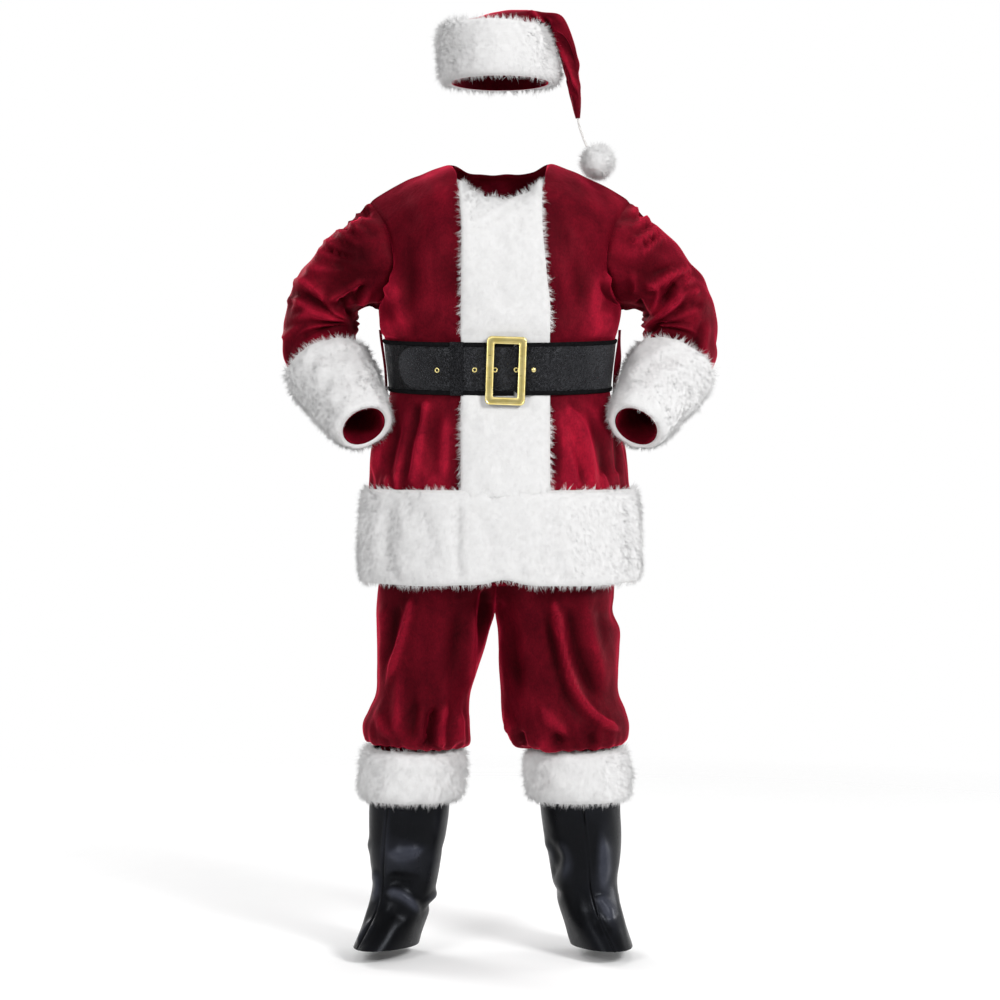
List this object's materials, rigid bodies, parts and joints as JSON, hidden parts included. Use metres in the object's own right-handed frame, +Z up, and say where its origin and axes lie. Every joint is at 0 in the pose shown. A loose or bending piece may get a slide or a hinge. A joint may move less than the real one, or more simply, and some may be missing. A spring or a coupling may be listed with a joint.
{
  "type": "santa suit",
  "caption": "Hollow worn costume in red velvet and white fur: belted jacket, trousers, stocking hat with pompom and black boot tops, arms akimbo.",
  "frame": {"origin": "middle of the base of the neck, between the wearer's shoulders, 1.470 m above the floor they stand on", "axes": "+Z up, the front faces -Y, +X towards the wearer's left"},
  "size_m": [0.836, 0.3966, 1.7868],
  "materials": {
    "velvet": "burgundy-crimson crushed velvet with a soft nap",
    "fur": "white long-pile imitation fur",
    "vinyl": "near-black grained vinyl, satin",
    "edging": "black woven binding, matt",
    "gold": "pale gold, brushed"
  },
  "bodies": {
    "root": {"jacket_front_right": "velvet", "jacket_front_left": "velvet", "jacket_back": "velvet", "sleeve_front_right": "velvet", "sleeve_back_right": "velvet", "sleeve_front_left": "velvet", "sleeve_back_left": "velvet", "belt_loop_right": "velvet", "belt_loop_left": "velvet", "trousers_front_right": "velvet", "trousers_front_left": "velvet", "trousers_back_right": "velvet", "trousers_back_left": "velvet", "waistband": "velvet", "hat_crown_front": "velvet", "hat_crown_back": "velvet", "placket_fur": "fur", "hem_fur": "fur", "cuff_fur_right": "fur", "cuff_fur_left": "fur", "boottop_fur_right": "fur", "boottop_fur_left": "fur", "hat_band_fur": "fur", "pompom": "fur", "hat_cord": "fur", "belt_strap": "vinyl", "belt_keeper": "vinyl", "boottop_outer_right": "vinyl", "boottop_inner_right": "vinyl", "boottop_outer_left": "vinyl", "boottop_inner_left": "vinyl", "belt_edging_top": "edging", "belt_edging_bottom": "edging", "buckle": "gold", "belt_eyelet_1": "gold", "belt_eyelet_2": "gold", "belt_eyelet_3": "gold", "belt_eyelet_4": "gold", "belt_stud": "gold"}
  },
  "joints": []
}
